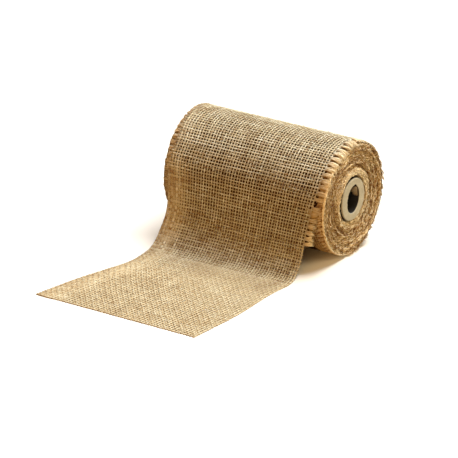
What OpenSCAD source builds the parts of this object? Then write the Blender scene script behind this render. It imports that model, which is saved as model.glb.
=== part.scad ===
// Burlap ribbon wound on a cardboard core, with its free end paid out over a table.
// Frame: origin on the core's axis at mid width, +X along the core, +Z up, free end towards -Y.

/* [Ribbon] */
// Overall width of the ribbon, across the weft loops along both edges
ribbon_w = 152.4; // [120:0.2:160]
// Length of the weft loops that stand past the last warp yarn
loop_len = 7.2; // [4:0.2:9]
// Width of one weft loop
loop_w = 3.2; // [2:0.1:4]
// Distance from one weft loop to the next, two picks of the weave
loop_pitch = 5.2; // [4.4:0.1:6]
// Thickness of one layer of the cloth
cloth_t = 0.9; // [0.6:0.1:1.2]

/* [Roll] */
// Outside diameter of the roll, over its last lap
roll_d = 96; // [90:1:110]
// Radial pitch of the wound turns, pressed together
turn_pitch = 0.71; // [0.6:0.01:0.9]
// Running gap between the last lap and the roll that turns inside it
lap_gap = 0.3; // [0.3:0.05:0.6]

/* [Free end] */
// Angle above horizontal at which the ribbon leaves the front of the roll
leave_angle = 11; // [5:1:15]
// Radius of the bend from the drop onto the table
bend_r = 24; // [20:1:26]
// Length of ribbon that lies on the table, past the bend
tail_len = 123.4; // [80:0.2:160]
// How far the cut end is pulled across, towards -X
tail_skew = 20; // [10:1:24]

/* [Core] */
// Outside diameter of the cardboard core
core_d = 36; // [32:0.5:40]
// Diameter of the core's bore
bore_d = 21; // [18:0.5:24]
// Thickness of the core's inner ply
liner_t = 0.8; // [0.5:0.1:1.2]
// Distance from the axis to the point of the crease along the top of the bore
crease_r = 12; // [11.5:0.1:12.5]
// Thickness of the tape that starts the ribbon on the core
tape_t = 0.2; // [0.1:0.05:0.3]

/* [Hidden] */
$fn = 96;

roll_r = roll_d / 2;
core_r = core_d / 2;
bore_r = bore_d / 2;
liner_r = bore_r + liner_t;
woven_w = ribbon_w - 2 * loop_len;
lap_in_r = roll_r - cloth_t;
under_out_r = lap_in_r - lap_gap;
under_in_r = under_out_r - cloth_t;
wound_in_r = core_r + tape_t;
table_z = -roll_r;

// The wound turns fall into three zones that differ in how far their edges stand out.
zone_r = [for (i = [0:3]) wound_in_r + (under_in_r - wound_in_r) * i / 3];
zone_stand = [74.6, 73.2, 74.2];
edge_wander = 0.9;
edge_groove = 1.6;
land_share = 0.6;
wander_step = 137;

// The crease sits a little forward of the top of the bore.
crease_turn = 20;
crease_half = 23;
crease_root = 0.5;
tape_w = 25;
tape_len = 140;
slit_w = 2;

// The last lap runs from the front of the roll, over the top and back, to just past the table.
lap_end_angle = 275;
lap_sector_r = 2 * roll_r;
loop_root = 2;
loop_step = loop_pitch / roll_r * 180 / PI;
loop_count = floor((lap_end_angle - leave_angle) / loop_step);

// Middle line of the drop: straight off the roll, then a bend that ends level on the table.
mid_r = roll_r - cloth_t / 2;
mid_table_z = table_z + cloth_t / 2;
leave_y = -mid_r * cos(leave_angle);
leave_z = mid_r * sin(leave_angle);
bend_z = mid_table_z + bend_r;
drop_len = (leave_z - bend_z + bend_r * sin(leave_angle)) / cos(leave_angle);
bend_start_y = leave_y - drop_len * sin(leave_angle);
bend_y = bend_start_y - bend_r * cos(leave_angle);
bend_steps = 12;

// The tail turns up about a line across the ribbon, just past the end of the bend.
hinge_y = bend_y - 1;
drop_side_gap = 0.7;
tail_side_gap = 0.5;
drop_edge_low_x = 62;
drop_edge_low_z = -18;
tail_root_x = [-68.5, 61.8];
tail_bow_y = hinge_y - 30;
cut_y = hinge_y - tail_len;
cut_x = [tail_root_x[0] - 1.5 * tail_skew, tail_root_x[1] - tail_skew / 2];

jute = [0.78, 0.64, 0.42];
jute_light = [0.84, 0.73, 0.53];
jute_dark = [0.66, 0.5, 0.3];
board = [0.78, 0.74, 0.62];
ply = [0.68, 0.6, 0.48];
tape = [0.85, 0.8, 0.6];

// Extrudes a shape drawn in the Y-Z plane along X, from x0.
module along_x(x0, length) {
    translate([x0, 0, 0]) rotate([90, 0, 90]) linear_extrude(length) children();
}

module tube_x(r_out, r_in, length) {
    along_x(-length / 2, length) difference() {
        circle(r = r_out);
        circle(r = r_in);
    }
}

// A sector of the Y-Z plane between two angles, measured upwards from -Y.
function front_polar(r, a) = [-r * cos(a), r * sin(a)];
module sector(r, a0, a1) {
    steps = ceil((a1 - a0) / 30);
    polygon(concat([[0, 0]], [for (i = [0:steps]) front_polar(r, a0 + (a1 - a0) * i / steps)]));
}

// The pointed crease: two flats that meet at crease_r and run down inside the bore.
module crease() {
    root_r = bore_r - crease_root;
    rotate(90 - crease_turn) polygon([
        [0, 0],
        [root_r * cos(crease_half), root_r * sin(crease_half)],
        [crease_r, 0],
        [root_r * cos(crease_half), -root_r * sin(crease_half)]
    ]);
}

module core_ring(r_out, r_in) {
    along_x(-ribbon_w / 2, ribbon_w) difference() {
        circle(r = r_out);
        circle(r = r_in);
        crease();
    }
}

module core_board() {
    color(board) core_ring(core_r, liner_r);
}

module core_liner() {
    color(ply) core_ring(liner_r, bore_r);
}

module start_tape() {
    half = tape_w / core_r * 90 / PI;
    color(tape) along_x(-tape_len / 2, tape_len) intersection() {
        difference() {
            circle(r = core_r + tape_t);
            circle(r = core_r);
        }
        sector(lap_sector_r, 90 - half, 90 + half);
    }
}

// One zone of wound turns. Each turn's edge is a land, and a groove parts it from the next.
function edge_stand(zone, i) = zone_stand[zone] + edge_wander * sin(i * wander_step + zone * 40);
function land_points(zone, side) = let (
    r0 = zone_r[zone],
    r1 = zone_r[zone + 1],
    turns = round((r1 - r0) / turn_pitch),
    pitch = (r1 - r0) / turns,
    order = side > 0 ? [0:turns - 1] : [turns - 1:-1:0]
) [
    for (i = order) let (
        a = r0 + i * pitch,
        b = a + pitch * (i < turns - 1 ? land_share : 1),
        c = a + pitch,
        x = side * edge_stand(zone, i),
        g = side * (edge_stand(zone, i) - edge_groove)
    ) each (
        i == turns - 1 ? (side > 0 ? [[a, x], [b, x]] : [[b, x], [a, x]])
            : side > 0 ? [[a, x], [b, x], [b, g], [c, g]]
            : [[c, g], [b, g], [b, x], [a, x]]
    )
];
module turns(zone) {
    rotate([0, 90, 0]) rotate_extrude() polygon(concat(land_points(zone, 1), land_points(zone, -1)));
}

module inner_turns() {
    color(jute_light) turns(0);
}

module middle_turns() {
    color(jute_dark) turns(1);
}

module outer_turns() {
    color(jute) turns(2);
}

// The lap that the ribbon is leaving. Its slit is the pay-off line, under the roll.
module under_lap() {
    color(jute_dark) difference() {
        tube_x(under_out_r, under_in_r, ribbon_w - 2);
        translate([-ribbon_w, -slit_w / 2, -roll_r]) cube([2 * ribbon_w, slit_w, roll_r]);
    }
}

module lap_loops(side) {
    x0 = side > 0 ? woven_w / 2 - loop_root : -ribbon_w / 2;
    for (i = [0:loop_count - 1]) {
        rotate([-(leave_angle + (i + 0.5) * loop_step), 0, 0])
            translate([x0, -roll_r, -loop_w / 2])
            cube([loop_len + loop_root, cloth_t, loop_w]);
    }
}

// The last lap on the roll, which stays with the drop while the roll turns inside it.
module outer_lap() {
    color(jute) union() {
        along_x(-woven_w / 2, woven_w) intersection() {
            difference() {
                circle(r = roll_r);
                circle(r = lap_in_r);
            }
            sector(lap_sector_r, leave_angle, lap_end_angle);
        }
        lap_loops(1);
        lap_loops(-1);
    }
}

// Points of the drop's middle line moved sideways by d, from the roll to the table.
function bend_point(a, d) = [bend_y + (bend_r - d) * cos(a), bend_z - (bend_r - d) * sin(a)];
function drop_side(d) = concat(
    [front_polar(mid_r + d, leave_angle)],
    [for (i = [0:bend_steps]) bend_point(leave_angle + (90 - leave_angle) * i / bend_steps, d)],
    [[hinge_y + drop_side_gap, mid_table_z + d]]
);
function reversed(list) = [for (i = [len(list) - 1:-1:0]) list[i]];

module drop_outline() {
    top = roll_r;
    translate([0, roll_r, 0]) rotate([90, 0, 0]) linear_extrude(4 * roll_r) polygon([
        [-woven_w / 2, top],
        [woven_w / 2, top],
        [woven_w / 2, leave_z],
        [drop_edge_low_x, drop_edge_low_z],
        [drop_edge_low_x, table_z - 1],
        [-woven_w / 2, table_z - 1]
    ]);
}

module ribbon_drop() {
    color(jute) intersection() {
        along_x(-ribbon_w / 2, ribbon_w)
            polygon(concat(drop_side(cloth_t / 2), reversed(drop_side(-cloth_t / 2))));
        drop_outline();
    }
}

// The free end: flat on the table, drifting towards -X, and cut straight across.
module ribbon_tail() {
    root_y = hinge_y - tail_side_gap;
    color(jute_light) translate([0, 0, table_z]) linear_extrude(cloth_t) polygon([
        [tail_root_x[0], root_y],
        [tail_root_x[0], tail_bow_y],
        [cut_x[0], cut_y],
        [cut_x[1], cut_y],
        [tail_root_x[1], tail_bow_y - 10],
        [tail_root_x[1], root_y]
    ]);
}

core_board();
core_liner();
start_tape();
inner_turns();
middle_turns();
outer_turns();
under_lap();
outer_lap();
ribbon_drop();
ribbon_tail();
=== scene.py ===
import math

import bpy
import numpy as np
from mathutils import Matrix, Vector


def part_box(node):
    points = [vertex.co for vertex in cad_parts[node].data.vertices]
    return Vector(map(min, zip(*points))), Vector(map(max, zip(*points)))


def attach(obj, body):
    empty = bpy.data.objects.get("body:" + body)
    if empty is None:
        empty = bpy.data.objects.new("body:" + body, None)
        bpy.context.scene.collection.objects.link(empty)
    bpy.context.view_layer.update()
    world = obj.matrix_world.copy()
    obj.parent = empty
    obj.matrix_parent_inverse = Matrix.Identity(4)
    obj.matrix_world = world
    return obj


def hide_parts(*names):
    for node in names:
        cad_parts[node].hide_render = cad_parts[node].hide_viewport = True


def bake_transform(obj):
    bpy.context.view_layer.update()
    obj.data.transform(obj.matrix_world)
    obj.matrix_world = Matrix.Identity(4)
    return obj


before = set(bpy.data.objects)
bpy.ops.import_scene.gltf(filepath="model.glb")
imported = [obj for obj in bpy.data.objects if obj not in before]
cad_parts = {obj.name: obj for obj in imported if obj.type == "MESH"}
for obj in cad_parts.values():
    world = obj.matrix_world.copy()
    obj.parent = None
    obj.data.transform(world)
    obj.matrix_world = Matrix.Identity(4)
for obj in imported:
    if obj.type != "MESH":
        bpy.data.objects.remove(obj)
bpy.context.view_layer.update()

# ---------------------------------------------------------------- sizes, in metres
MM = 0.001
SEED = 7

# Places that come from the frame
ROLL_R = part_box("outer_lap")[1].z
UNDER_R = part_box("under_lap")[1].z
CORE_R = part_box("core_board")[1].z
CORE_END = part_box("core_board")[1].x
CUT_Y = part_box("ribbon_tail")[0].y
FLOOR_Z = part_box("outer_lap")[0].z
ZONE_R = [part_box(node)[1].z for node in ("inner_turns", "middle_turns", "outer_turns")]
WOUND_IN_R = CORE_R + 0.2 * MM

# The weave. STEPS is the number of points along a yarn for each crossing
PITCH = 2.6 * MM
WARPS = 54
STEPS = 2
CLOTH_T = 0.9 * MM
CRIMP = 0.2 * MM
MID_R = ROLL_R - CLOTH_T / 2
WOVEN_HALF = 69 * MM

# Yarns: thickness, half of the width, and what that half gains in some places
YARN_T = 0.52 * MM
YARN_HALF = 0.55 * MM
WIDER_FROM_BEND = 0.1 * MM
WIDER_ON_TABLE = 0.12 * MM
WIDER_LEFT = 0.14 * MM
WIDER_LEFT_BELOW = 0.5 * MM
WIDER_RIGHT = 0.1 * MM

# How fast the fibres turn round a yarn and round a ply, in radians a metre
YARN_TWIST = 900
PLY_TWIST = 700

# How warps and wefts differ: mean tone, how much their width wanders, and its limits
WARP_KIND = {"tone": 0.53, "knot": 7 * MM, "uneven": 0.11, "each": 0.05, "limits": (0.65, 1.45)}
WEFT_KIND = {"tone": 0.48, "knot": 9 * MM, "uneven": 0.12, "each": 0.06, "limits": (0.6, 1.5)}

# The paid-out ribbon: it leaves the roll, drops, bends and lies on the table
LAP_START = math.radians(275)
LEAVE_LEFT = math.radians(12.5)
LEAVE_RIGHT = math.radians(10)
BEND_LEFT = 30 * MM
BEND_RIGHT = 21 * MM
BEND_EASE = 1.6
# The cloth starts to look like the tail at TABLE_FROM past the line where the ribbon leaves the roll, and
# changes over TABLE_FADE. Its yarns start to widen BEND_BEFORE_TABLE sooner
TABLE_FROM = 62 * MM
TABLE_FADE = 30 * MM
BEND_BEFORE_TABLE = 20 * MM
# Each selvedge in mm: the distance past the line where the ribbon leaves the roll, and the place across
RIGHT_EDGE = [(-16, 69), (2, 66.2), (28, 62.3), (52, 61.2), (76, 64.4), (92, 61.9), (142, 59.2), (196, 51.6)]
LEFT_EDGE = [
    (-66, -75.6), (-46, -75.2), (-30, -72.6), (-10, -73.6), (6, -71.6), (27, -69.3),
    (50, -71), (83, -68), (100, -68.6), (128, -77.9), (152, -86.2), (196, -98.4),
]
# The outer lap lies a little loose over the top of the roll
LOOSE = 0.7 * MM
LOOSE_AT = math.radians(100)
LOOSE_SPREAD = math.radians(50)

# Weft loops. The right ones stand open over FRINGE_SPAN of the roll, and are painted paler towards its top
# as painted light, by the amount set below
LOOP_LEN = 7.2 * MM
ROOT_IN = 1.2 * MM
FRINGE_SPAN = math.radians(86)
PAINTED_LIGHT_TOP = 0.2
LOOPS_END = 39 * MM
MAT_STEPS = 8

# Loose fibres: how many lie on the last lap, on the free end and across the free end's back
STRAYS_LAP = 1500
STRAYS_RUN = 900
BACK_FIBRES = 10000

# Wound turns, with rings on the roll's ends painted pale as light on the proud band near the core and dark
# as shade in the groove past it, in mm out from the first turn
TURN_PITCH = 0.71 * MM
TURNS_END = 74 * MM
FIBRES_PER_END = 5600
PAINTED_LIGHT_RING = 4.8
PAINTED_LIGHT_SPREAD = 3.2
PAINTED_SHADE_RING = 10
PAINTED_SHADE_SPREAD = 1.8

# The bore's crease and the middle of its torn side, as angles round the roll
CREASE_AT = math.radians(106)
TORN_AT = 0.3

# The floor's flat radius, the cove round it and the backdrop's top
STAGE_R = 3.6
COVE_R = 1.0
STAGE_TOP = 1.8


# ---------------------------------------------------------------- small tools
def eased(x):
    """0 below 0 and 1 above 1, with a smooth step between."""
    x = np.clip(x, 0, 1)
    return x * x * (3 - 2 * x)


def hump(x, middle, spread, power=2):
    """1 at the middle, and next to nothing further away than about twice the spread."""
    return np.exp(-(((x - middle) / spread) ** power))


def around(x, r, angle):
    """Points round the roll's axis. The angle is 0 at the front and a quarter turn at the top."""
    return np.stack(np.broadcast_arrays(x, -r * np.cos(angle), r * np.sin(angle)), -1)


def unit(vectors):
    return vectors / np.maximum(np.linalg.norm(vectors, axis=-1, keepdims=True), 1e-12)


def smooth_curve(points, s):
    """A smooth line through listed points, read at the distances s."""
    at, value = np.array(points, float).T * MM
    slope = np.gradient(value, at)
    k = np.clip(np.searchsorted(at, s) - 1, 0, len(at) - 2)
    span = at[k + 1] - at[k]
    t = np.clip((s - at[k]) / span, 0, 1)
    return (
        (2 * t**3 - 3 * t**2 + 1) * value[k]
        + (t**3 - 2 * t**2 + t) * span * slope[k]
        + (3 * t**2 - 2 * t**3) * value[k + 1]
        + (t**3 - t**2) * span * slope[k + 1]
    )


def wander(rng, rows, distance, knot, size):
    """Smooth random drift for each of some yarns along a distance, about size wide."""
    ends = int(distance.max() / knot) + 3
    knots = rng.normal(0, size, (rows, ends))
    at = distance / knot
    first = at.astype(int)
    t = eased(at - first)
    return knots[:, first] * (1 - t) + knots[:, first + 1] * t


def tubes(centres, normals, half_w, half_t, tone, painted_light, sides, twist=0.0):
    """Closed flattened tubes along rows of points, as points, quads, caps and what the materials read."""
    rows, count, _ = centres.shape
    along = np.gradient(centres, axis=1)
    tangent = unit(along)
    across = unit(np.cross(tangent, normals))
    up = np.cross(across, tangent)
    angle = np.arange(sides) * 2 * math.pi / sides
    wide = half_w[..., None] * np.cos(angle)
    tall = half_t[..., None] * np.sin(angle)
    points = (
        centres[:, :, None]
        + across[:, :, None] * wide[..., None]
        + up[:, :, None] * tall[..., None]
    )
    start = (np.arange(rows)[:, None] * count + np.arange(count - 1)) * sides
    side = np.arange(sides)
    a = start[..., None] + side
    b = start[..., None] + (side + 1) % sides
    quads = np.stack([a, a + sides, b + sides, b], -1).reshape(-1, 4)
    first = np.arange(rows)[:, None] * count * sides + side
    last = first[:, ::-1] + (count - 1) * sides
    length = np.cumsum(np.linalg.norm(along, axis=-1), axis=1)
    turn = angle + twist * length[..., None]
    # Each tube reads its own part of the streaks
    own_part = np.arange(rows)[:, None, None] * 0.0371
    fibre = np.stack(
        [
            length[..., None] + own_part + 0 * turn,
            half_w[..., None] * np.cos(turn) + own_part,
            half_w[..., None] * np.sin(turn),
        ],
        -1,
    )
    # Painted shade: each tube is painted lighter on the side that faces out and darker on the side that
    # faces in
    painted_light_by_side = painted_light[..., None] + 0.3 * np.sin(angle)
    return {
        "points": points.reshape(-1, 3),
        "quads": quads,
        "caps": [np.concatenate([first, last])],
        "fibre": fibre.reshape(-1, 3),
        "tone": np.repeat(tone.reshape(-1), sides),
        "painted_light": painted_light_by_side.reshape(-1),
    }


def grid_group(points, tone, painted_light, wrap_u=False, wrap_v=False):
    """A grid of points as a group of quads, whose fibre attribute is the place itself."""
    rows, count, _ = points.shape
    i = np.arange(rows if wrap_u else rows - 1)[:, None]
    j = np.arange(count if wrap_v else count - 1)
    i2 = (i + 1) % rows
    j2 = (j + 1) % count
    corners = [i * count + j, i2 * count + j, i2 * count + j2, i * count + j2]
    return {
        "points": points.reshape(-1, 3),
        "quads": np.stack(corners, -1).reshape(-1, 4),
        "caps": [],
        "fibre": points.reshape(-1, 3),
        "tone": tone.reshape(-1),
        "painted_light": painted_light.reshape(-1),
    }


def joined(*groups):
    """Several groups as one, so that they can be one mesh."""
    offsets = np.cumsum([0] + [len(group["points"]) for group in groups])
    attributes = ("points", "fibre", "tone", "painted_light")
    result = {key: np.concatenate([group[key] for group in groups]) for key in attributes}
    result["quads"] = np.concatenate([group["quads"] + k for group, k in zip(groups, offsets)])
    result["caps"] = [cap + k for group, k in zip(groups, offsets) for cap in group["caps"]]
    return result


def mesh_object(name, group, material):
    """A smooth mesh object from a group's points and faces, with its fibre and tone attributes and the
    attribute that carries its painted light and shade.

    What would reach below the table lies pressed flat on it."""
    points = group["points"].astype(np.float32)
    points[:, 2] = np.maximum(points[:, 2], FLOOR_Z)
    faces = [group["quads"], *group["caps"]]
    corners = np.concatenate([f.reshape(-1) for f in faces]).astype(np.int32)
    sizes = np.concatenate([np.full(len(f), f.shape[1]) for f in faces])
    starts = np.concatenate([[0], np.cumsum(sizes)[:-1]]).astype(np.int32)
    mesh = bpy.data.meshes.new(name)
    mesh.vertices.add(len(points))
    mesh.vertices.foreach_set("co", points.reshape(-1))
    mesh.loops.add(len(corners))
    mesh.loops.foreach_set("vertex_index", corners)
    mesh.polygons.add(len(sizes))
    mesh.polygons.foreach_set("loop_start", starts)
    mesh.polygons.foreach_set("use_smooth", np.full(len(sizes), True))
    mesh.update(calc_edges=True)
    mesh.validate()
    for key, kind in (("tone", "FLOAT"), ("painted_light", "FLOAT"), ("fibre", "FLOAT_VECTOR")):
        attribute = mesh.attributes.new(key, kind, "POINT")
        field = "vector" if kind == "FLOAT_VECTOR" else "value"
        attribute.data.foreach_set(field, group[key].astype(np.float32).reshape(-1))
    mesh.materials.append(material)
    obj = bpy.data.objects.new(name, mesh)
    bpy.context.scene.collection.objects.link(obj)
    return obj


# ---------------------------------------------------------------- materials
def new_material(name):
    """A material with only a Principled shader and its output."""
    material = bpy.data.materials.new(name)
    material.use_nodes = True
    tree = material.node_tree
    tree.nodes.clear()
    output = tree.nodes.new("ShaderNodeOutputMaterial")
    shader = tree.nodes.new("ShaderNodeBsdfPrincipled")
    tree.links.new(shader.outputs["BSDF"], output.inputs["Surface"])
    return material, tree, shader


def attribute_node(tree, name):
    node = tree.nodes.new("ShaderNodeAttribute")
    node.attribute_name = name
    return node


def noise(tree, vector, scale, detail, rough):
    node = tree.nodes.new("ShaderNodeTexNoise")
    node.inputs["Scale"].default_value = scale
    node.inputs["Detail"].default_value = detail
    node.inputs["Roughness"].default_value = rough
    tree.links.new(vector, node.inputs["Vector"])
    return node.outputs["Fac"]


def maths(tree, operation, a, b=0.0):
    """One maths node; a and b are sockets or numbers."""
    node = tree.nodes.new("ShaderNodeMath")
    node.operation = operation
    for socket, value in zip(node.inputs, (a, b)):
        if isinstance(value, (int, float)):
            socket.default_value = value
        else:
            tree.links.new(value, socket)
    return node.outputs[0]


def scaled_sum(tree, a, scale, b):
    """a times scale, plus b."""
    return maths(tree, "ADD", maths(tree, "MULTIPLY", a, scale), b)


def ramp(tree, fac, stops):
    node = tree.nodes.new("ShaderNodeValToRGB")
    elements = node.color_ramp.elements
    while len(elements) < len(stops):
        elements.new(0.5)
    for element, (place, colour) in zip(elements, stops):
        element.position = place
        element.color = (*colour, 1)
    tree.links.new(fac, node.inputs["Fac"])
    return node.outputs["Color"]


def multiply(tree, colour_a, colour_b):
    node = tree.nodes.new("ShaderNodeMix")
    node.data_type = "RGBA"
    node.blend_type = "MULTIPLY"
    node.inputs["Factor"].default_value = 1
    tree.links.new(colour_a, node.inputs[6])
    tree.links.new(colour_b, node.inputs[7])
    return node.outputs[2]


def bumped(tree, shader, height, strength, distance):
    bump = tree.nodes.new("ShaderNodeBump")
    bump.inputs["Strength"].default_value = strength
    bump.inputs["Distance"].default_value = distance
    tree.links.new(height, bump.inputs["Height"])
    tree.links.new(bump.outputs["Normal"], shader.inputs["Normal"])


def jute(name, deep, mid, pale, painted_shade_colour, streaks=0.45, patches=0.5, patch_scale=70, sheen=0.25):
    """Jute: fibre streaks along each yarn, tones that differ from yarn to yarn, and painted shade that
    darkens valleys, undersides and roots.
    """
    material, tree, shader = new_material(name)
    fibre = attribute_node(tree, "fibre").outputs["Vector"]
    stretch = tree.nodes.new("ShaderNodeMapping")
    stretch.inputs["Scale"].default_value = (260, 2600, 2600)
    tree.links.new(fibre, stretch.inputs["Vector"])
    streak = noise(tree, stretch.outputs["Vector"], 1.0, 3.0, 0.6)
    place = tree.nodes.new("ShaderNodeTexCoord").outputs["Object"]
    patch = noise(tree, place, patch_scale, 3.0, 0.6)
    tone = attribute_node(tree, "tone").outputs["Fac"]
    streak_part = maths(tree, "MULTIPLY", maths(tree, "SUBTRACT", streak, 0.5), streaks * 2)
    patch_part = maths(tree, "MULTIPLY", maths(tree, "SUBTRACT", patch, 0.5), patches)
    total = maths(tree, "ADD", maths(tree, "ADD", tone, streak_part), patch_part)
    colour = ramp(tree, total, [(0.1, deep), (0.5, mid), (0.9, pale)])
    # Painted shade: where the attribute read below is low, the colour darkens towards the shade colour
    painted_light = attribute_node(tree, "painted_light").outputs["Fac"]
    shade = ramp(tree, painted_light, [(0.15, painted_shade_colour), (0.9, (1, 1, 1))])
    tree.links.new(multiply(tree, colour, shade), shader.inputs["Base Color"])
    tree.links.new(scaled_sum(tree, streak, 0.25, 0.68), shader.inputs["Roughness"])
    bumped(tree, shader, streak, 0.6, 0.2 * MM)
    shader.inputs["Specular IOR Level"].default_value = min(0.2, sheen)
    shader.inputs["Sheen Weight"].default_value = sheen
    shader.inputs["Sheen Roughness"].default_value = 0.5
    shader.inputs["Sheen Tint"].default_value = (1.0, 0.95, 0.84, 1)
    return material


def cardboard(name, light, dark, ply):
    """Board or paper: fine pulp speckle, blotches, and the rings of its plies on the cut end."""
    material, tree, shader = new_material(name)
    place = tree.nodes.new("ShaderNodeTexCoord").outputs["Object"]
    speckle = noise(tree, place, 1400, 3.0, 0.7)
    blotch = noise(tree, place, 160, 2.0, 0.5)
    parts = tree.nodes.new("ShaderNodeSeparateXYZ")
    tree.links.new(place, parts.inputs[0])
    y_squared = maths(tree, "MULTIPLY", parts.outputs["Y"], parts.outputs["Y"])
    z_squared = maths(tree, "MULTIPLY", parts.outputs["Z"], parts.outputs["Z"])
    radius = maths(tree, "SQRT", maths(tree, "ADD", y_squared, z_squared))
    rings = maths(tree, "SINE", maths(tree, "MULTIPLY", radius, 2 * math.pi / ply))
    tone = scaled_sum(tree, speckle, 0.7, maths(tree, "MULTIPLY", blotch, 0.3))
    tone = maths(tree, "ADD", tone, maths(tree, "MULTIPLY", rings, 0.05))
    tree.links.new(ramp(tree, tone, [(0.3, dark), (0.65, light)]), shader.inputs["Base Color"])
    tree.links.new(scaled_sum(tree, speckle, 0.2, 0.75), shader.inputs["Roughness"])
    bumped(tree, shader, tone, 0.5, 0.1 * MM)
    shader.inputs["Specular IOR Level"].default_value = 0.25
    return material


def stage_material(name, colour, glow, glow_top):
    """Warm white paper that glows more and more with height, so that the backdrop reads as lit."""
    material, tree, shader = new_material(name)
    shader.inputs["Base Color"].default_value = (*colour, 1)
    shader.inputs["Roughness"].default_value = 0.9
    shader.inputs["Specular IOR Level"].default_value = 0.1
    parts = tree.nodes.new("ShaderNodeSeparateXYZ")
    place = tree.nodes.new("ShaderNodeTexCoord").outputs["Object"]
    tree.links.new(place, parts.inputs[0])
    glowing = ramp(tree, parts.outputs["Z"], [(0.0, (0, 0, 0)), (glow_top, (glow, glow, glow))])
    tree.links.new(glowing, shader.inputs["Emission Color"])
    shader.inputs["Emission Strength"].default_value = 1
    return material


burlap = jute(
    "burlap_yarn",
    deep=(0.25, 0.135, 0.05),
    mid=(0.585, 0.498, 0.318),
    pale=(0.84, 0.815, 0.665),
    painted_shade_colour=(0.13, 0.055, 0.02),
    streaks=0.8,
    patches=0.35,
    sheen=0.15,
)
# Painted shade: dark where its tone is low, for the light that the layers behind the last lap's holes
# swallow
burlap_under_shaded = jute(
    "burlap_under_shaded",
    deep=(0.022, 0.007, 0.002),
    mid=(0.045, 0.016, 0.004),
    pale=(0.60, 0.42, 0.20),
    painted_shade_colour=(0.3, 0.2, 0.12),
    sheen=0.0,
)
amber = jute(
    "fringe_amber",
    deep=(0.34, 0.17, 0.05),
    mid=(0.70, 0.50, 0.24),
    pale=(0.98, 0.88, 0.64),
    painted_shade_colour=(0.13, 0.055, 0.02),
)
wound = jute(
    "wound_edges",
    deep=(0.22, 0.09, 0.02),
    mid=(0.64, 0.42, 0.17),
    pale=(0.98, 0.86, 0.60),
    painted_shade_colour=(0.14, 0.06, 0.02),
    patches=1.5,
    patch_scale=400,
)
board = cardboard("core_board_grey", light=(0.60, 0.56, 0.45), dark=(0.38, 0.35, 0.27), ply=0.9 * MM)
torn_ply = cardboard("core_torn_ply", light=(0.34, 0.26, 0.17), dark=(0.20, 0.15, 0.09), ply=3 * MM)
# Painted shade: near-black board for the bore and for the tube's outside where it shows in the gap
bore_shade = cardboard("core_bore_painted_shade", light=(0.014, 0.011, 0.008), dark=(0.006, 0.005, 0.004), ply=3 * MM)
tape = cardboard("paper_tape", light=(0.72, 0.62, 0.45), dark=(0.58, 0.48, 0.33), ply=5 * MM)


# ---------------------------------------------------------------- the ribbon's surface
def lap_length(u):
    """How long the outer lap is at u, from its start to where the ribbon leaves the roll."""
    leave = LEAVE_LEFT + (LEAVE_RIGHT - LEAVE_LEFT) * u
    return MID_R * (LAP_START - leave)


def fall_length(leave, bend):
    """How long the straight drop is between the roll and a bend of a given radius."""
    return (MID_R * np.sin(leave) + MID_R - bend * (1 - np.sin(leave))) / np.cos(leave)


LEAVE_V = float(lap_length(0.5))
MID_BEND = BEND_RIGHT + (BEND_LEFT - BEND_RIGHT) * 0.5**BEND_EASE
MID_LEAVE = (LEAVE_LEFT + LEAVE_RIGHT) / 2
MID_FALL = fall_length(MID_LEAVE, MID_BEND)
MID_ARC = MID_BEND * (math.pi / 2 - MID_LEAVE)
MID_BEND_Y = -(MID_R + MID_BEND) * math.cos(MID_LEAVE) - math.sin(MID_LEAVE) * MID_FALL
RIBBON_PICKS = round((LEAVE_V + MID_FALL + MID_ARC + MID_BEND_Y - CUT_Y) / PITCH)
RIBBON_V = RIBBON_PICKS * PITCH
LAP_PICKS = round(LEAVE_V / PITCH)
LAP_END = LAP_PICKS * PITCH


def ribbon(u, v):
    """Mid-surface point and outer normal of the outer lap, the drop and the free end.

    u goes from 0 at the left selvedge to 1 at the right. v is the distance along from the lap's start."""
    leave = LEAVE_LEFT + (LEAVE_RIGHT - LEAVE_LEFT) * u
    bend = BEND_RIGHT + (BEND_LEFT - BEND_RIGHT) * (1 - u) ** BEND_EASE
    lap = lap_length(u)
    fall = fall_length(leave, bend)
    arc = bend * (math.pi / 2 - leave)
    angle = LAP_START - np.minimum(v, lap) / MID_R
    fallen = np.clip(v - lap, 0, fall)
    turned = np.clip(v - lap - fall, 0, arc) / bend
    flat = np.maximum(v - lap - fall - arc, 0)
    bend_y = -(MID_R + bend) * np.cos(leave) - np.sin(leave) * fall
    stretch = (bend_y - CUT_Y) / (RIBBON_V - lap - fall - arc)
    out = MID_R + LOOSE * hump(angle, LOOSE_AT, LOOSE_SPREAD) * (turned == 0)
    y = -out * np.cos(angle) - np.sin(leave) * fallen
    y = y - bend * (np.cos(leave) - np.cos(leave + turned)) - flat * stretch
    z = out * np.sin(angle) - np.cos(leave) * fallen
    z = z - bend * (np.sin(leave + turned) - np.sin(leave))
    past = v - LEAVE_V
    left = smooth_curve(LEFT_EDGE, past)
    right = smooth_curve(RIGHT_EDGE, past)
    x = left + (right - left) * u
    return np.stack([x, y, z], -1), around(0.0, 1.0, angle + turned)


def hoop(radius, turn):
    """A full turn of cloth round the roll, as a surface like ribbon(); turn is the length once round."""

    def surface(u, v):
        angle = 2 * math.pi * v / turn
        return around(WOVEN_HALF * (2 * u - 1), radius, angle), around(0.0, 1.0, angle)

    return surface


def in_the_open(angle):
    """1 where the outer lap doesn't cover the under lap, below the line where the ribbon leaves."""
    angle = (angle + math.pi / 2) % (2 * math.pi) - math.pi / 2
    covered_from = eased((angle - math.radians(2)) / math.radians(12))
    covered_to = eased((angle - math.radians(268)) / math.radians(4))
    return 1 - covered_from + covered_to


# ---------------------------------------------------------------- the weave
def on_table(v):
    """1 where the ribbon lies on the table, 0 above the bend."""
    return eased((v - LEAVE_V - TABLE_FROM) / TABLE_FADE)


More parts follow.
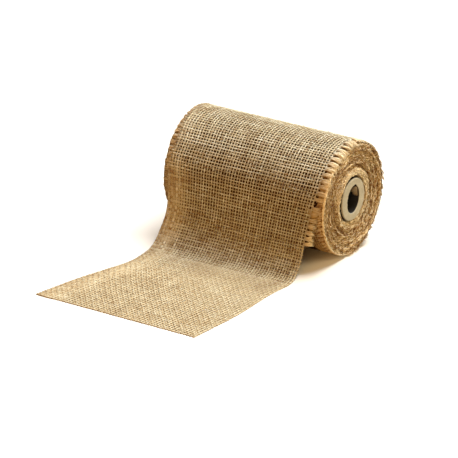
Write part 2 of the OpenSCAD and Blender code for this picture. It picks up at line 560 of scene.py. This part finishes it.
def yarn_width(u, v):
    """Half of a yarn's width, which grows on the table and near the left selvedge, most from the drop on."""
    below = eased((v - LEAVE_V + 16 * MM) / (20 * MM))
    left = (WIDER_LEFT + WIDER_LEFT_BELOW * below) * hump(u, 0, 0.13, 3)
    right = WIDER_RIGHT * hump(u, 1, 0.04)
    down = WIDER_FROM_BEND * on_table(v + BEND_BEFORE_TABLE) + WIDER_ON_TABLE * on_table(v)
    return YARN_HALF + down + left + right


def yarns(surface, u, v, along, rise, kind, rng, full):
    """Yarns that follow a surface and stand off it by their rise. They look calmer on the table."""
    rows = (len(u), 1)
    centre, normal = surface(u, v)
    slub = 1 + wander(rng, len(u), along, kind["knot"], kind["uneven"]) + rng.normal(0, kind["each"], rows)
    uneven_tone = wander(rng, len(u), along, 9 * MM, 0.11) + rng.normal(0, 0.06, rows)
    table = on_table(v)
    return {
        "centres": centre + normal * rise[..., None],
        "normals": normal,
        "half_w": np.clip(slub, *kind["limits"]) * yarn_width(u, v) * full,
        "half_t": np.clip(slub, 0.8, 1.3) * YARN_T / 2,
        # On the table the tone is painted darker, as painted shade against the brighter light there. Painted
        # shade: crests lighter and crimp troughs darker, calmer on the table
        "tone": kind["tone"] + uneven_tone * (1 - 0.7 * table) - 0.14 * hump(u, 0, 0.07) - 0.07 * table,
        "painted_light": 0.58 + 0.5 * rise / CRIMP * (1 - 0.85 * table) + 0.1 * table,
    }


def weave(surface, picks, rng, full=1.0):
    """Warp and weft yarns of a plain weave over a surface, as centre lines with widths."""
    v = np.arange(picks * STEPS + 1) * PITCH / STEPS
    u = np.arange(WARPS * STEPS + 1) / (WARPS * STEPS)
    across = u * 2 * WOVEN_HALF
    warp = np.arange(WARPS)[:, None]
    weft = np.arange(picks)[:, None]
    warp_u = (warp + 0.5) / WARPS + wander(rng, WARPS, v, 14 * MM, 0.05) / WARPS
    warp_v = np.broadcast_to(v, warp_u.shape)
    rise = CRIMP * np.cos(math.pi * (warp_v / PITCH - 0.5 + warp))
    warps = yarns(surface, warp_u, warp_v, v, rise, WARP_KIND, rng, full)
    drift = wander(rng, picks, across, 14 * MM, 0.06 * PITCH)
    weft_v = np.clip((weft + 0.5) * PITCH + drift, 0, picks * PITCH)
    weft_u = np.broadcast_to(u, weft_v.shape)
    rise = -CRIMP * np.cos(math.pi * (weft_u * WARPS - 0.5 + weft))
    wefts = yarns(surface, weft_u, weft_v, across, rise, WEFT_KIND, rng, full)
    return warps, wefts


def cloth(warps, wefts, warp_points=slice(None), weft_rows=slice(None), sides=5):
    """The warp and weft yarns of a stretch of cloth as one group of tubes."""
    warps = {key: value[:, warp_points] for key, value in warps.items()}
    wefts = {key: value[weft_rows] for key, value in wefts.items()}
    return joined(
        tubes(**warps, sides=sides, twist=YARN_TWIST),
        tubes(**wefts, sides=sides, twist=YARN_TWIST),
    )


def laid(surface, u, v, length, way, t, v_limits):
    """Centre lines and normals of fibres that lie on a surface, each round its own u and v."""
    u = u + length * t * np.cos(way) / (2 * WOVEN_HALF)
    v = v + length * t * np.sin(way)
    return surface(np.clip(u, 0, 1), np.clip(v, *v_limits))


def back_fibres(surface, v_from, v_to, count, rng):
    """Short fibres across the weave's holes on the ribbon's inner side, denser towards v_to, painted dark as
    the shade behind the holes.
    """
    each = (count, 1)
    t = np.linspace(-0.5, 0.5, 4)
    length = rng.uniform(4, 9, each) * MM
    way = rng.uniform(0, math.pi, each) + rng.normal(0, 0.5, each) * t
    u = rng.uniform(0.02, 0.98, each)
    down = rng.uniform(0, 1, each) ** 0.65
    centre, normal = laid(surface, u, v_from + (v_to - v_from) * down, length, way, t, (v_from, v_to))
    depth = rng.uniform(0.3, 0.6, each) * MM + 0 * t
    wide = rng.uniform(0.1, 0.26, each) * MM * (1 + 0.8 * down**3) * (1 - 2 * t * t)
    tone = 0.18 + 0.25 * down**2 + rng.normal(0, 0.1, each) + 0 * t
    # Painted shade: these fibres take the full shade colour
    painted_light = 0 * tone - 0.1
    return tubes(centre - normal * depth[..., None], normal, wide, 0.3 * wide, tone, painted_light, sides=3)


def stray_fibres(surface, v_from, v_to, count, rng):
    """Loose jute fibres that lie over the cloth and rise a little off it."""
    each = (count, 1)
    t = np.linspace(-0.5, 0.5, 6)
    length = rng.uniform(2, 9, each) * MM
    heading = rng.normal(0, 0.5, each) + rng.integers(0, 2, each) * math.pi / 2
    way = heading + rng.normal(0, 0.6, each) * t
    u = rng.uniform(0.01, 0.99, each)
    v = rng.uniform(v_from, v_to, each)
    centre, normal = laid(surface, u, v, length, way, t, (v_from, v_to))
    lift_off = CRIMP + YARN_T * 0.6 + rng.exponential(0.35, each) * MM * (1 - 4 * t * t)
    thin = rng.uniform(0.04, 0.11, each) * MM * (1 - 1.5 * t * t)
    tone = 0.75 + rng.normal(0, 0.2, each) + 0 * t
    return tubes(centre + normal * lift_off[..., None], normal, thin, thin, tone, 0.9 + 0 * tone, sides=3)


# ---------------------------------------------------------------- weft loops
def tuft_width(q):
    """Half the width of a tuft, in metres: gathered at its root and splayed towards its tip."""
    return (0.7 + 1.05 * np.clip(q, 0, 1) ** 0.8) * MM


def loops(
    base,
    out,
    along,
    normal,
    rng,
    length,
    fibres,
    plies=5,
    droop=0.25,
    pale=0.0,
    press=0.0,
    proud=0.5,
    root=0.05,
):
    """Weft loops past a selvedge, each a tuft of plies that turn down at the tip, and loose fibres.

    base is the middle of each loop's root; out, along and normal are unit vectors at each. press is how
    much the tufts lie over along the selvedge, proud how much they arch up in mm, and root how lit their
    roots are."""
    count = len(base)
    length = np.broadcast_to(length, (count,))[:, None]
    pale = np.broadcast_to(pale, (count,))[:, None]
    reach = length * rng.uniform(0.88, 1.08, (count, 1))
    lean = rng.normal(press, 0.1, (count, 1))
    bow = rng.normal(proud, 0.5 * proud + 0.05, (count, 1)) * MM
    wide = rng.uniform(0.85, 1.15, (count, 1))

    def strands(rows, t, far, place, height, half_w, half_t, tone, painted_light, sides, twist=0.0):
        """Tubes in the tufts given by rows, each at its place across the tuft, from -1 to 1."""
        go = far * t
        across = place * tuft_width(t) * wide[rows] + lean[rows] * go
        up = height + bow[rows] * np.sin(math.pi * np.clip(t, 0, 1)) - droop * go * t**3
        centres = (
            base[rows][:, None]
            + out[rows][:, None] * go[..., None]
            + along[rows][:, None] * across[..., None]
            + normal[rows][:, None] * up[..., None]
        )
        facing = np.broadcast_to(normal[rows][:, None], centres.shape)
        half_w, half_t, tone, painted_light = (value + 0 * go for value in (half_w, half_t, tone, painted_light))
        return tubes(centres, facing, half_w, half_t, tone, painted_light, sides, twist)

    rows = np.repeat(np.arange(count), plies)
    each = (len(rows), 1)
    t = np.linspace(0, 1, 8)
    place = np.tile(np.linspace(-1, 1, plies), count)[:, None] + rng.normal(0, 0.12, each)
    far = reach[rows] * (1 - 0.12 * place**2) * rng.uniform(0.92, 1.05, each)
    tip = 1 - 0.75 * t**6
    yarn_plies = strands(
        rows,
        t,
        far,
        place,
        height=rng.normal(0, 0.15, each) * MM,
        half_w=rng.uniform(0.4, 0.58, each) * MM * tip,
        half_t=rng.uniform(0.3, 0.42, each) * MM * tip,
        tone=0.5 + pale[rows] + rng.normal(0, 0.13, each) + 0.2 * t,
        painted_light=root + (0.8 - root) * t**0.7,
        sides=5,
        twist=PLY_TWIST,
    )
    rows = np.repeat(np.arange(count), fibres)
    each = (len(rows), 1)
    t = np.linspace(0, 1, 6)
    place = rng.uniform(-1.25, 1.25, each)
    curl = rng.normal(0, 0.35, each) * t**2
    thin = rng.uniform(0.12, 0.26, each) * MM * (1 - 0.6 * t**3)
    loose_fibres = strands(
        rows,
        t,
        reach[rows] * rng.uniform(0.7, 1.16, each),
        place + curl,
        height=rng.uniform(0.1, 0.6, each) * MM + 0 * t,
        half_w=thin,
        half_t=thin * 0.8,
        tone=0.72 + pale[rows] + rng.normal(0, 0.2, each),
        painted_light=0.3 + root + (0.5 - root) * t,
        sides=3,
    )
    return joined(yarn_plies, loose_fibres)


def selvedge(surface, side, v):
    """Points along a selvedge with the directions out of the cloth, along it and away from it."""
    u = np.full(v.shape, 1.0 if side > 0 else 0.0)
    base, normal = surface(u, v)
    out = np.zeros_like(base)
    out[..., 0] = side
    return base, out, unit(np.cross(normal, out)), normal


def edge_loops(surface, picks, side, rng, length, **options):
    """Loops along one selvedge of a surface, one for each two picks of the range."""
    pairs = np.arange(picks[0] + 1, picks[1], 2) * PITCH
    base, out, along, normal = selvedge(surface, side, pairs)
    return loops(base - out * ROOT_IN, out, along, normal, rng, length, **options)


def edge_mat(surface, picks, side, rng, reach, pale):
    """A felted rim sunk under the weft loops of a selvedge, with the ribs of their yarns across it."""
    v = np.linspace(picks[0], picks[1], (picks[1] - picks[0]) * MAT_STEPS + 1) * PITCH
    base, out, _, normal = selvedge(surface, side, v)
    scallop = 0.25 * MM * np.cos(math.pi * v / PITCH) + wander(rng, 1, v - v[0], 4 * MM, 0.3 * MM)[0]
    half = (reach + scallop) / 2
    middle = base + out * half[:, None] - normal * 0.7 * MM
    drift = wander(rng, 1, v - v[0], 5 * MM, 1.0)[0]
    ribs = 0.35 * np.cos(4 * math.pi * v / PITCH + drift) + 0.2 * np.cos(math.pi * v / PITCH)
    # Painted light and shade: the rim is painted lighter on its raised ribs, darker between them, and shaded
    # overall where it lies sunk under the loops
    tone = 0.45 + pale + 0.12 * ribs + wander(rng, 1, v - v[0], 3 * MM, 0.12)
    painted_light = (0.35 + 0.6 * ribs)[None]
    half_t = (CLOTH_T / 2 * (1 + ribs))[None]
    group = tubes(middle[None], normal[None], (half + 0.8 * MM)[None], half_t, tone, painted_light, sides=14)
    group["points"] = group["points"] + rng.normal(0, 0.09 * MM, group["points"].shape)
    # Its streaks run out across the rim
    group["fibre"] = group["fibre"][:, [1, 0, 2]]
    return group


def edge_rope(surface, picks, side, rng, place, pale):
    """A loosely twisted pair of yarns along the rim, where the loops' tips lie over each other."""
    v = np.linspace(picks[0], picks[1], (picks[1] - picks[0]) * 4 + 1) * PITCH
    base, out, _, normal = selvedge(surface, side, v)
    groups = []
    for phase in (0, math.pi):
        turn = (math.pi * v / PITCH + phase + wander(rng, 1, v - v[0], 9 * MM, 0.5)[0])[:, None]
        line = base + out * (place + 0.5 * MM * np.cos(turn)) + normal * 0.35 * MM * np.sin(turn)
        wide = 0.7 * MM * (1 + wander(rng, 1, v - v[0], 5 * MM, 0.15))
        tone = 0.5 + pale + wander(rng, 1, v - v[0], 6 * MM, 0.12)
        painted_light = 0 * tone + 0.7
        strand = tubes(line[None], normal[None], wide, wide * 0.8, tone, painted_light, sides=6, twist=YARN_TWIST)
        groups.append(strand)
    return joined(*groups)


def back_reach(angle):
    """How far the last lap's right fringe stands out where it lies pressed down, behind the roll's top."""
    return LOOP_LEN + (0.1 + 2.3 * eased((angle - 1.9) / 0.6)) * MM


# ---------------------------------------------------------------- wound turns
def mm_out(r):
    """How far out a radius is from the first wound turn, in mm."""
    return (r - WOUND_IN_R) / MM


def gap_width(angle):
    """The gap between the core and the first turn, widest at its upper front."""
    return (1.2 + 0.9 * np.cos(angle - 0.7)) * MM


def stand(r, angle, side):
    """How far the wound turns' edges stand out along the core, before their own ridges."""
    at = mm_out(r)
    band = hump(at, 4.2, 3.2) * (0.7 + 0.45 * np.sin(angle + 0.3))
    groove = hump(at, 9.8, 1.7) * (0.75 + 0.25 * np.cos(angle - 2))
    gap = hump(at, 0, gap_width(angle) / MM, 4)
    swell = 0.5 * np.sin(2 * angle + at * 0.35) + 0.35 * np.sin(5 * angle - at * 0.6)
    ring = 0.5 * np.sin(at * 1.15 + 0.8 * np.sin(angle + side))
    behind = eased((at - 16) / 9) * (0.5 - 0.5 * np.cos(angle - 0.5)) ** 1.5
    return TURNS_END + (1.9 * band - 2.4 * groove - 7 * gap + 0.5 * swell + ring + 1.8 * behind - 0.4) * MM


def wound_zone(r_in, r_out, rng):
    """One closed ring of wound turns, with the ridge of every turn's edge on both ends."""
    turns = round((r_out - r_in) / TURN_PITCH)
    radial = np.linspace(r_in, r_out, turns * 4 + 1)
    angle = np.linspace(0, 2 * math.pi, 300, endpoint=False)
    rr, aa = np.meshgrid(radial, angle, indexing="ij")
    phase = (rr - WOUND_IN_R) / TURN_PITCH - aa / (2 * math.pi)
    # Each turn's edge wanders in and out, through knots round the roll
    wanders, knots = 80, 24
    per_turn = rng.normal(0, 0.45, (wanders, knots))
    which = np.floor(phase).astype(int) % wanders
    knot = aa / (2 * math.pi) * knots
    k = knot.astype(int)
    t = eased(knot - k)
    uneven = per_turn[which, k % knots] * (1 - t) + per_turn[which, (k + 1) % knots] * t
    ridge = 0.55 * np.cos(2 * math.pi * (phase - 0.5)) + uneven
    rough = rng.normal(0, 0.16, rr.shape)
    ends = {}
    for side in (-1, 1):
        face = around(side * (stand(rr, aa, side) + (ridge + rough) * MM), rr, aa)
        # Painted light and shade: the proud band is painted paler, turn edges that stand out further are
        # paler, and the ridges are lighter than the grooves between them
        painted_light_band = hump(mm_out(rr), PAINTED_LIGHT_RING, math.sqrt(10))
        tone = 0.42 + 0.35 * painted_light_band + 0.32 * uneven + rng.normal(0, 0.16, rr.shape)
        ends[side] = [part[::side] for part in (face, tone, 0.45 + 0.3 * ridge)]
    points, tone, painted_light = (np.concatenate(parts) for parts in zip(ends[1], ends[-1]))
    group = grid_group(points, tone, painted_light, wrap_u=True, wrap_v=True)
    group["quads"] = group["quads"][:, ::-1]
    return group


def end_fibres(side, r_in, r_out, count, rng):
    """Short jute fibres that lie round the wound end, pressed over the turns' edges."""
    each = (count, 1)
    r = np.sqrt(rng.uniform(r_in**2, r_out**2, each))
    angle = rng.uniform(0, 2 * math.pi, each)
    r_in = np.maximum(r_in, WOUND_IN_R + gap_width(angle))
    r = np.maximum(r, r_in)
    t = np.linspace(-0.5, 0.5, 5)
    length = rng.uniform(2.5, 7.5, each) * MM
    slant = rng.normal(0, 0.35, each)
    arch = rng.uniform(0.2, 1.5, each) * MM
    a = angle + length * t / r
    radius = np.clip(r + slant * length * t + rng.normal(0, 0.5, each) * MM * (4 * t * t), r_in, r_out)
    x = stand(radius, a, side) + (0.15 * MM + arch * (1 - 4 * t * t))
    centres = around(side * x, radius, a)
    thin = rng.uniform(0.12, 0.4, each) * MM * (1 - 1.6 * t * t)
    at = mm_out(r)
    # Painted light and shade: fibres on the proud band are painted paler, most on its upper side, and those
    # in the groove darker
    band = hump(at, PAINTED_LIGHT_RING, PAINTED_LIGHT_SPREAD) * (0.75 + 0.35 * np.sin(angle + 0.3))
    patches = 0.15 * np.sin(at * 0.9) * np.sin(3 * angle)
    pale = 0.75 * band - 0.25 * hump(at, PAINTED_SHADE_RING, PAINTED_SHADE_SPREAD) + patches
    tone = 0.5 + pale + rng.normal(0, 0.38, each) + 0 * thin
    normals = np.zeros_like(centres)
    normals[..., 0] = side
    return tubes(centres, normals, thin, thin * 0.7, tone, 0.8 + 0 * thin, sides=3)


def end_loops(side, r_in, r_out, rng):
    """The weft loops of every wound turn, pressed over along the turn."""
    radius = []
    angle = []
    for n in range(int((r_out - r_in) / TURN_PITCH)):
        r = r_in + (n + 0.5) * TURN_PITCH
        many = int(2 * math.pi * r / (1.2 * PITCH))
        a = (np.arange(many) + rng.uniform(0, 1)) * 2 * math.pi / many
        angle.append(a + rng.normal(0, 0.15 / many, many))
        radius.append(np.full(many, r))
    r = np.concatenate(radius)
    a = np.concatenate(angle)
    past_gap = r > WOUND_IN_R + gap_width(a)
    r = r[past_gap]
    a = a[past_gap]
    each = (len(a), 1)
    base = around(side * (stand(r, a, side) - 2.2 * MM), r, a)
    normal = around(0.0, 1.0, a)
    round_it = np.stack([0 * a, np.sin(a), np.cos(a)], -1)
    straight_out = np.array([side, 0, 0])
    out = unit(straight_out + round_it * rng.normal(0.2, 0.5, each))
    at = mm_out(r)
    # Painted light and shade: loops on the proud band are painted paler and those in the groove darker
    pale = 0.5 * hump(at, PAINTED_LIGHT_RING, PAINTED_LIGHT_SPREAD) - 0.25 * hump(at, PAINTED_SHADE_RING, PAINTED_SHADE_SPREAD)
    q = np.linspace(0, 1, 6)
    outward = np.sin(math.pi * q) ** 0.7
    go = rng.uniform(2.0, 4.0, each) * MM * outward
    shift = -np.cos(math.pi * q) * PITCH * rng.uniform(0.2, 0.45, each)
    height = rng.normal(0, 0.25, each) * MM * outward
    centres = (
        base[:, None]
        + out[:, None] * go[..., None]
        + round_it[:, None] * shift[..., None]
        + normal[:, None] * height[..., None]
    )
    facing = np.broadcast_to(normal[:, None], centres.shape)
    half_w = 0.32 * MM * rng.uniform(0.6, 1.3, each) + 0 * go
    half_t = 0.26 * MM + 0 * go
    tone = 0.45 + pale[:, None] + rng.normal(0, 0.36, each) + 0 * go
    # Painted shade: each loop is darker at its root than where it stands out
    return tubes(centres, facing, half_w, half_t, tone, 0.35 + 0.5 * outward + 0 * go, sides=4)


# ---------------------------------------------------------------- core
def turned_from(angle, middle):
    """How far an angle is from another, between minus and plus half a turn."""
    return np.angle(np.exp(1j * (angle - middle)))


def bore_radius(angle):
    """The bore's outline: a little taller than wide, creased at the top and torn along its front side."""
    crease = hump(turned_from(angle, CREASE_AT), 0, 0.16)
    front = hump(turned_from(angle, TORN_AT), 0, 0.8)
    torn = (0.3 * np.sin(11 * angle) + 0.2 * np.sin(23 * angle + 1)) * front
    return (10.5 + 1.1 * np.cos(2 * (angle - math.radians(97))) + 0.9 * crease + torn) * MM


def core_flap():
    """A torn end of the tube's inner ply, bent in across the top of the bore's mouth."""
    # Y and Z in mm, down its edge on the bore's wall and down its free edge
    wall = np.array([(4.4, 9.6), (7.6, 8.2), (9.9, 5.6), (10.8, 2.2), (10.7, -0.8)])
    free = np.array([(2.6, 8.4), (2.8, 6.0), (4.8, 3.6), (6.6, 1.8), (8.6, -0.6)])
    t = np.linspace(0, 1, 17)
    at = np.linspace(0, 1, len(wall))
    held = np.stack([np.interp(t, at, wall[:, k]) for k in (0, 1)], -1) * MM
    loose = np.stack([np.interp(t, at, free[:, k]) for k in (0, 1)], -1) * MM
    ragged = 0.35 * MM * np.sin(9 * t + 1) * np.sin(23 * t)
    across = np.linspace(0, 1, 6)[:, None]
    yz = held * (1 - across[..., None]) + (loose + ragged[:, None]) * across[..., None]
    bent_in = 1.2 + 2.6 * across - 0.9 * np.sin(math.pi * across) - 0.3 * np.sin(7 * t)
    front = np.concatenate([(CORE_END - bent_in * MM)[..., None], yz], -1)
    thickness = np.array([0.5 * MM, 0, 0])
    points = np.concatenate([front, (front - thickness)[::-1]])
    even = np.full(points.shape[:2], 0.5)
    return grid_group(points, even, even, wrap_u=True)


def core_tube():
    """The board tube: a closed wall with flat ends, slightly worn rims and the creased bore."""
    angle = np.linspace(0, 2 * math.pi, 180, endpoint=False)
    end = CORE_END
    rim = 0.4 * MM
    worn = 0.5 * MM
    flat = 0.15 * MM
    inner = bore_radius(angle)
    outer = np.full(angle.shape, CORE_R)
    stations = [
        (-end, outer - worn),
        (-end + 2 * worn, outer),
        (end - 2 * worn, outer),
        (end, outer - worn),
        (end, outer - worn - flat),
        (end, inner + rim + flat),
        (end, inner + rim),
        (end - rim, inner),
        (0.0, inner),
        (-end + rim, inner),
        (-end, inner + rim),
        (-end, inner + rim + flat),
        (-end, outer - worn - flat),
    ]
    points = np.stack([around(x, r, angle) for x, r in stations])
    even = np.full(points.shape[:2], 0.5)
    group = grid_group(points, even, even, wrap_u=True, wrap_v=True)
    group["quads"] = group["quads"][:, ::-1]
    # The faces between stations 7 and 9 are the bore, and those between 1 and 2 the tube's outside; both
    # take the near-black board as painted shade
    group["bore_faces"] = slice(7 * len(angle), 9 * len(angle))
    group["side_faces"] = slice(len(angle), 2 * len(angle))
    return group


# ---------------------------------------------------------------- build it
def build_ribbon():
    rng = np.random.default_rng(SEED)
    warps, wefts = weave(ribbon, RIBBON_PICKS, rng)
    cut = LAP_PICKS * STEPS
    on_roll = cloth(warps, wefts, slice(0, cut + 1), slice(0, LAP_PICKS))
    run_out = cloth(warps, wefts, slice(cut, None), slice(LAP_PICKS, None))
    lap_cloth = mesh_object("lap_cloth", on_roll, burlap)
    run_cloth = mesh_object("run_cloth", run_out, burlap)
    # The right fringe lies pressed down behind the roll's top, and stands open in front of it
    open_from = round((LEAVE_V - FRINGE_SPAN * MID_R) / PITCH)
    open_picks = (open_from, LAP_PICKS)
    back_picks = (0, open_from)
    pairs = np.arange(open_from + 1, LAP_PICKS, 2) * PITCH
    # Painted light: tufts higher up the roll are painted paler
    pale = PAINTED_LIGHT_TOP * eased((LAP_START - pairs / MID_R - math.radians(25)) / math.radians(35))
    front = edge_loops(ribbon, open_picks, 1, rng, LOOP_LEN + 2.4 * MM, fibres=22, pale=pale)
    back_length = back_reach(LAP_START - np.arange(1, open_from, 2) * PITCH / MID_R)
    pressed = {"droop": 0.22, "press": 0.5, "proud": 0.15, "root": 0.3}
    back = edge_loops(ribbon, back_picks, 1, rng, back_length, fibres=34, **pressed)
    felt_at = LAP_START - np.linspace(0, open_from, open_from * MAT_STEPS + 1) * PITCH / MID_R
    felt = edge_mat(ribbon, back_picks, 1, rng, back_reach(felt_at) - 3.4 * MM, pale=-0.12)
    # The left fringe is short, but for a stretch at the front that shows past the roll
    left_at = LAP_START - np.arange(1, LAP_PICKS, 2) * PITCH / MID_R
    left_length = LOOP_LEN * (0.36 + 0.5 * hump(left_at, math.radians(46), math.radians(15), 4))
    left = edge_loops(ribbon, (0, LAP_PICKS), -1, rng, left_length, fibres=14, droop=0.3, proud=0.1)
    drop_picks = (LAP_PICKS, LAP_PICKS + round(LOOPS_END / PITCH))
    drop = edge_loops(ribbon, drop_picks, 1, rng, LOOP_LEN, fibres=20)
    strays = stray_fibres(ribbon, 4 * MM, LAP_END - 6 * MM, STRAYS_LAP, rng)
    lap_fuzz = mesh_object("lap_fuzz", strays, burlap)
    front_fuzz = stray_fibres(ribbon, LAP_END + 1 * MM, RIBBON_V - 2 * MM, STRAYS_RUN, rng)
    back_fuzz = back_fibres(ribbon, LAP_END + 7 * MM, LAP_END + 74 * MM, BACK_FIBRES, rng)
    run_fuzz = mesh_object("run_fuzz", joined(front_fuzz, back_fuzz), burlap)
    fringe_right = mesh_object("lap_fringe_right", joined(front, back, felt), amber)
    fringe_left = mesh_object("lap_fringe_left", left, amber)
    drop_fringe = mesh_object("drop_fringe", drop, amber)
    for piece in (lap_cloth, lap_fuzz, fringe_right, fringe_left, drop_fringe):
        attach(piece, "paid_out_ribbon")
    for piece in (run_cloth, run_fuzz):
        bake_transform(piece)
    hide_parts("outer_lap")
    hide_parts("ribbon_drop", "ribbon_tail")


def build_under_lap():
    rng = np.random.default_rng(SEED + 1)
    radius = UNDER_R - CLOTH_T / 2
    picks = 2 * round(math.pi * radius / PITCH)
    whole = (0, picks)
    surface = hoop(radius, picks * PITCH)
    warps, wefts = weave(surface, picks, rng, full=1.3)
    for yarn_set in (warps, wefts):
        x, y, z = np.moveaxis(yarn_set["centres"], -1, 0)
        near_end = eased((x - 56 * MM) / (6 * MM))
        # Painted shade: the under lap is painted dark, and lighter only near its right end where the outer
        # lap leaves it in the open
        yarn_set["tone"] = yarn_set["tone"] - 0.22 + 0.7 * near_end * in_the_open(np.arctan2(z, -y))
    # Painted shade: its right loops are darker where the outer lap covers them
    shaded = -0.35 * (1 - in_the_open(2 * math.pi * np.arange(1, picks, 2) / picks))
    under_cloth = mesh_object("under_cloth", cloth(warps, wefts, sides=4), burlap_under_shaded)
    right_look = {"plies": 4, "fibres": 22, "droop": 0.15, "pale": shaded, "press": 0.5, "proud": 0.15}
    left_look = {"plies": 3, "fibres": 14, "droop": 0.3, "press": 0.5, "proud": 0.05}
    rope_at = LOOP_LEN * 0.84
    right = [
        edge_loops(surface, whole, 1, rng, LOOP_LEN * 0.9, **right_look),
        edge_mat(surface, whole, 1, rng, LOOP_LEN * 0.62, pale=-0.12),
        edge_rope(surface, (0, picks // 6), 1, rng, rope_at, pale=0.38),
        edge_rope(surface, (picks * 3 // 4, picks), 1, rng, rope_at, pale=0.38),
    ]
    left = [
        edge_loops(surface, whole, -1, rng, LOOP_LEN * 0.9, **left_look),
        edge_mat(surface, whole, -1, rng, LOOP_LEN * 1.05, pale=-0.05),
    ]
    under_fringe = mesh_object("under_fringe_right", joined(*right), wound)
    under_fringe_left = mesh_object("under_fringe_left", joined(*left), burlap)
    for piece in (under_cloth, under_fringe, under_fringe_left):
        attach(piece, "wound_roll")
    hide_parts("under_lap")


def build_wound_turns():
    rng = np.random.default_rng(SEED + 2)
    inner = WOUND_IN_R
    for node, outer in zip(("inner_turns", "middle_turns", "outer_turns"), ZONE_R):
        piece = mesh_object(node + "_edges", wound_zone(inner, outer, rng), wound)
        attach(piece, "wound_roll")
        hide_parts(node)
        share = (outer**2 - inner**2) / (ZONE_R[-1] ** 2 - WOUND_IN_R**2)
        for side, name in ((-1, "left"), (1, "right")):
            fluff = end_fibres(side, inner, outer, int(FIBRES_PER_END * share), rng)
            fuzz = mesh_object(f"{node}_fibres_{name}", fluff, wound)
            nap = mesh_object(f"{node}_loops_{name}", end_loops(side, inner, outer, rng), wound)
            for extra in (fuzz, nap):
                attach(extra, "wound_roll")
        inner = outer


def build_core():
    group = core_tube()
    piece = mesh_object("core_tube", group, board)
    piece.data.materials.append(bore_shade)
    slots = np.zeros(len(group["quads"]), np.int32)
    slots[group["bore_faces"]] = 1
    slots[group["side_faces"]] = 1
    piece.data.polygons.foreach_set("material_index", slots)
    flap = mesh_object("core_torn_ply", core_flap(), torn_ply)
    for part in (piece, flap):
        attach(part, "wound_roll")
    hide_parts("core_board", "core_liner")
    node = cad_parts["start_tape"]
    node.data.materials.clear()
    node.data.materials.append(tape)


def build_stage():
    """A pale floor that curves up into a backdrop all round. It throws no light back on the roll."""
    rise = np.linspace(0, math.pi / 2, 12)
    reach = np.concatenate([[0.01, 1, 2, 3], STAGE_R + COVE_R * np.sin(rise), [STAGE_R + COVE_R]])
    height = np.concatenate([[0, 0, 0, 0], COVE_R * (1 - np.cos(rise)), [STAGE_TOP]])
    angle = np.linspace(0, 2 * math.pi, 96, endpoint=False)
    x = reach[:, None] * np.cos(angle)
    y = reach[:, None] * np.sin(angle)
    z = height[:, None] + FLOOR_Z + 0 * x
    ground = grid_group(np.stack([x, y, z], -1), 0 * x, 0 * x, wrap_v=True)
    ground["caps"] = [np.arange(len(angle))[None, ::-1]]
    paper = stage_material("pale_paper", colour=(0.90, 0.86, 0.80), glow=0.5, glow_top=0.6)
    stage = mesh_object("floor_and_backdrop", ground, paper)
    stage.visible_diffuse = False


def area_light(name, place, size, power, colour):
    """A round softbox that faces the middle of the roll."""
    light = bpy.data.lights.new(name, "AREA")
    light.shape = "DISK"
    light.size = size
    light.energy = power
    light.color = colour
    obj = bpy.data.objects.new(name, light)
    obj.location = place
    obj.rotation_euler = (-Vector(place)).to_track_quat("-Z", "Y").to_euler()
    bpy.context.scene.collection.objects.link(obj)


def build_lights():
    """A big white softbox high behind the roll, weak warm fills in front and at the right, a dim room."""
    world = bpy.data.worlds.new("studio")
    bpy.context.scene.world = world
    world.use_nodes = True
    room = world.node_tree.nodes["Background"]
    room.inputs["Color"].default_value = (1.0, 0.78, 0.52, 1)
    room.inputs["Strength"].default_value = 0.1
    area_light("key", (0.5, 2.2, 4.7), 4.0, 540, (0.93, 0.97, 1))
    area_light("front_fill", (0.6, -2.8, 0.8), 2.4, 60, (1, 0.55, 0.19))
    area_light("right_fill", (1.5, 0.5, 0.55), 0.8, 18, (1, 0.8, 0.46))
    bpy.context.scene.view_settings.view_transform = "Standard"


# The camera's view. RIGHT and UP are how far the roll's middle lies from the picture's middle
CAMERA_AZIMUTH = math.radians(32)
CAMERA_ELEVATION = math.radians(24.09)
CAMERA_DISTANCE = 3.0
CAMERA_RIGHT = 36.2 * MM
CAMERA_UP = 40.4 * MM
CAMERA_LENS = 287.5


def build_camera():
    flat = math.cos(CAMERA_ELEVATION)
    height = math.sin(CAMERA_ELEVATION)
    back = Vector((math.sin(CAMERA_AZIMUTH) * flat, -math.cos(CAMERA_AZIMUTH) * flat, height))
    right = Vector((math.cos(CAMERA_AZIMUTH), math.sin(CAMERA_AZIMUTH), 0))
    up = back.cross(right)
    camera = bpy.data.cameras.new("camera")
    camera.lens = CAMERA_LENS
    camera.sensor_width = 36
    camera.clip_end = 60
    obj = bpy.data.objects.new("camera", camera)
    place = back * CAMERA_DISTANCE - right * CAMERA_RIGHT - up * CAMERA_UP
    turn = Matrix((right, up, back)).transposed().to_4x4()
    obj.matrix_world = Matrix.Translation(place) @ turn
    bpy.context.scene.collection.objects.link(obj)
    bpy.context.scene.camera = obj


build_camera()
build_core()
build_wound_turns()
build_under_lap()
build_ribbon()
build_stage()
build_lights()
